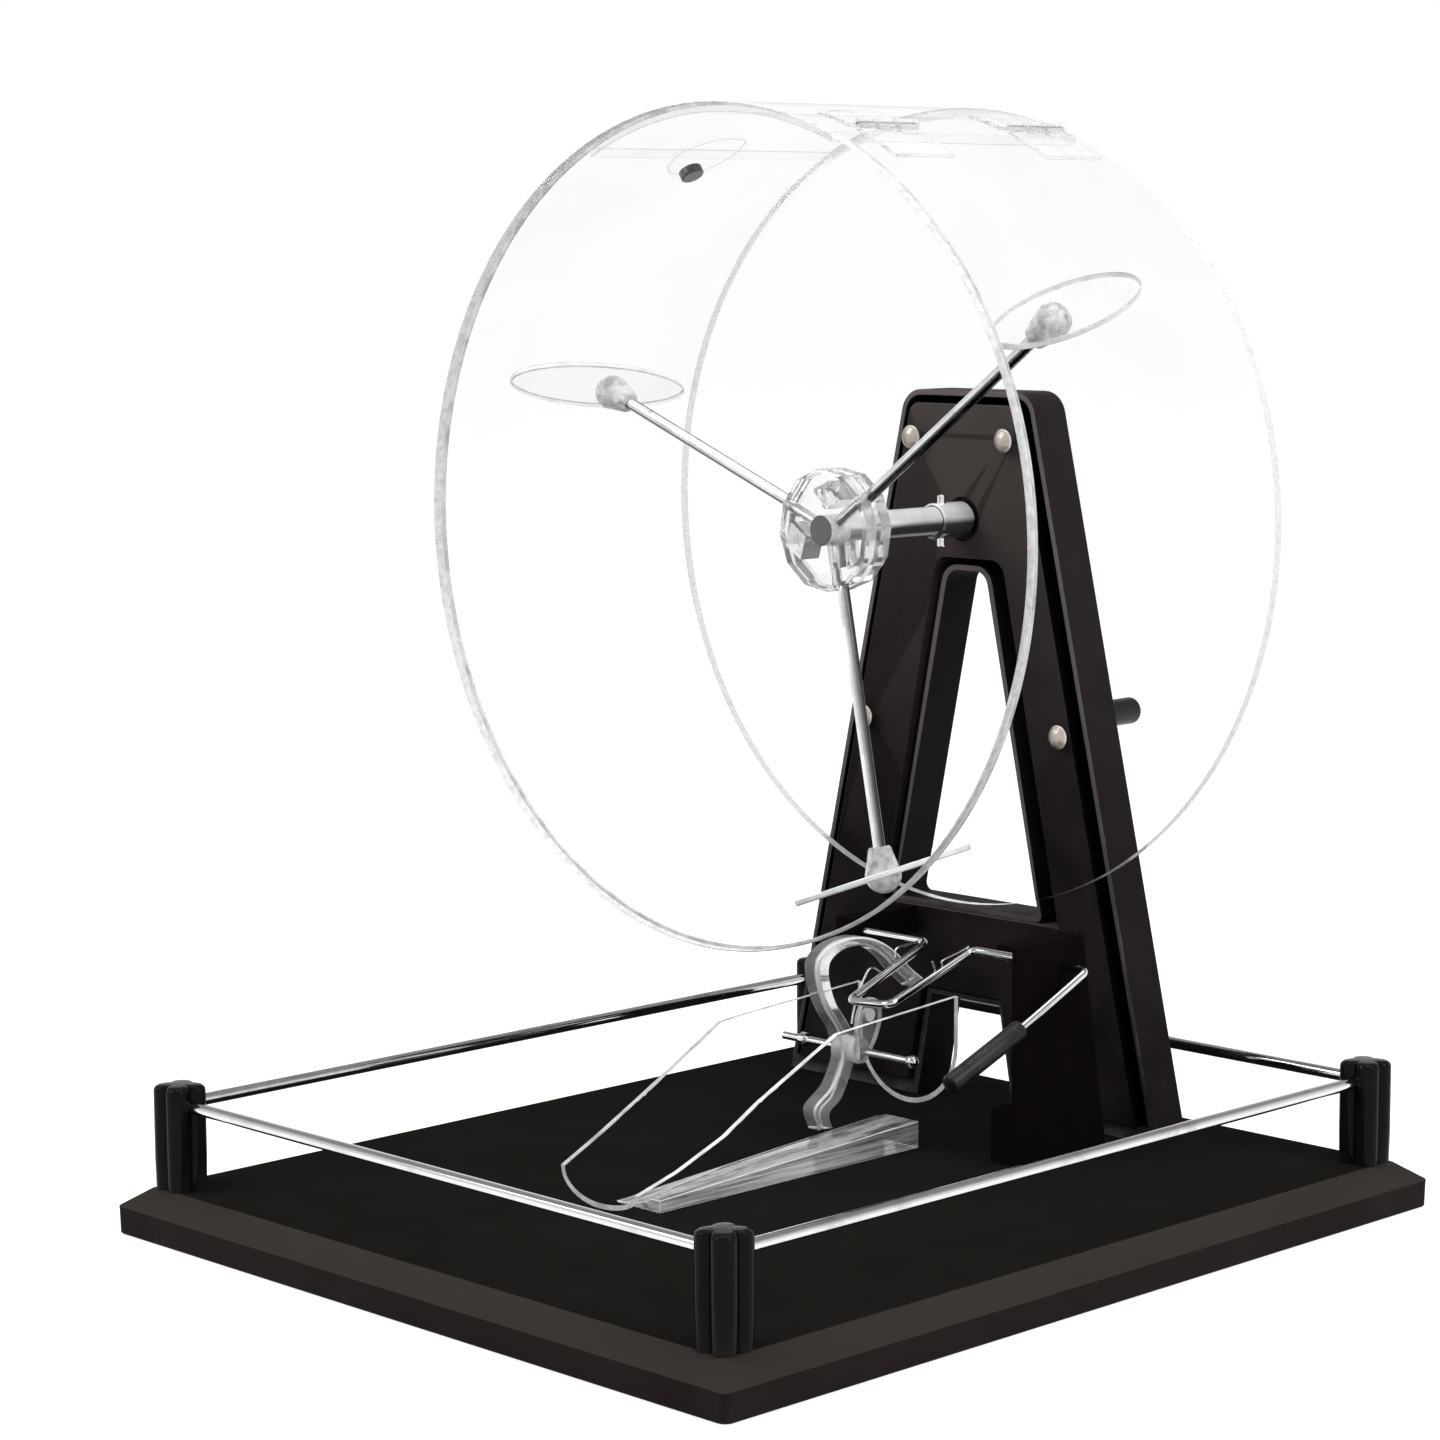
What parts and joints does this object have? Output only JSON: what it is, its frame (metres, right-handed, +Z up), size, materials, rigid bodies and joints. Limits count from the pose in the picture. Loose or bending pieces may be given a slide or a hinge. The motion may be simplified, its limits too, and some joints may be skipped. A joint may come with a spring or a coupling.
{
  "type": "raffle drum",
  "caption": "Tabletop raffle drum: fixed clear drum with a hinged door, hand-cranked stirring paddles, lever-worked ball gate and clear trough on a railed black base.",
  "frame": {"origin": "centre of the base board's underside", "axes": "+Z up; the drum and shaft axis runs along Y, with the stand and crank towards +Y and the open trough mouth towards -Y; +X is to the right seen from the trough mouth"},
  "size_m": [0.439, 0.496, 0.529],
  "materials": {
    "base_black": "polished black board with a satin edge",
    "post_black": "semi-gloss moulded black",
    "rail_steel": "bright round bar",
    "stand_black": "matte brown-black with fine grain",
    "bush_black": "matte",
    "screw_pearl": "pearl domed heads",
    "drum_acrylic": "clear polished acrylic",
    "hinge_acrylic": "clear moulded acrylic",
    "magnet_dark": "dark plated disc",
    "steel": "bright drawn steel",
    "stirrer_acrylic": "clear cut acrylic",
    "crank_steel": "brushed bar",
    "knob_black": "smooth black",
    "grip_rubber": "soft black sleeve",
    "trough_acrylic": "clear bent acrylic"
  },
  "bodies": {
    "frame": {"base_board": "base_black", "post_front_left": "post_black", "post_front_right": "post_black", "post_rear_left": "post_black", "post_rear_right": "post_black", "rail_front": "rail_steel", "rail_rear": "rail_steel", "rail_left": "rail_steel", "rail_right": "rail_steel", "stand_shell": "stand_black", "stand_panel": "stand_black", "shaft_bush": "bush_black", "drum_screws": "screw_pearl", "drum_shell": "drum_acrylic", "drum_front_disc": "drum_acrylic", "drum_rear_disc": "drum_acrylic", "door_magnet": "magnet_dark", "hinge_leaves_fixed": "hinge_acrylic", "hinge_pins": "hinge_acrylic", "trough": "trough_acrylic", "trough_wedge": "trough_acrylic", "gate_pin": "steel", "gate_collar": "steel", "lever_bracket": "stand_black", "lever_lug": "stand_black"},
    "stirrer": {"shaft": "steel", "shaft_collar": "steel", "collar_screws": "steel", "hub_front": "stirrer_acrylic", "hub_rear": "stirrer_acrylic", "spoke_right": "steel", "spoke_left": "steel", "spoke_bottom": "steel", "boss_right": "stirrer_acrylic", "boss_left": "stirrer_acrylic", "boss_bottom": "stirrer_acrylic", "paddle_right": "stirrer_acrylic", "paddle_left": "stirrer_acrylic", "paddle_bottom": "stirrer_acrylic", "crank_arm": "crank_steel", "crank_screw": "crank_steel", "crank_pin": "crank_steel"},
    "crank_knob": {"crank_knob": "knob_black"},
    "door": {"door_panel": "drum_acrylic", "hinge_leaves_moving": "hinge_acrylic", "catch_disc": "hinge_acrylic"},
    "release_lever": {"lever_wire": "steel", "lever_grip": "grip_rubber"},
    "gate_rocker": {"gate_strip": "trough_acrylic", "gate_cheek": "trough_acrylic"}
  },
  "joints": [
    {"name": "stirrer_spin", "type": "hinge", "parent": "frame", "child": "stirrer", "pos_m": [-0.033, 0.13, 0.3245], "axis": [0, 1, 0], "continuous": true},
    {"name": "knob_spin", "type": "hinge", "parent": "stirrer", "child": "crank_knob", "pos_m": [0.00311, 0.232, 0.22197], "axis": [0, 1, 0], "continuous": true},
    {"name": "door_hinge", "type": "hinge", "parent": "frame", "child": "door", "pos_m": [0.04484, 0.076, 0.51692], "axis": [0, 1, 0], "range_deg": [0, 110]},
    {"name": "lever_pivot", "type": "hinge", "parent": "frame", "child": "release_lever", "pos_m": [0, 0.123, 0.1154], "axis": [1, 0, 0], "range_deg": [-18, 0]},
    {"name": "gate_pivot", "type": "hinge", "parent": "frame", "child": "gate_rocker", "pos_m": [-0.0265, 0.076, 0.067], "axis": [1, 0, 0], "range_deg": [-21.6, 0]}
  ],
  "couplings": [
    {"joint": "gate_pivot", "follows": "lever_pivot", "ratio": 1.2}
  ]
}
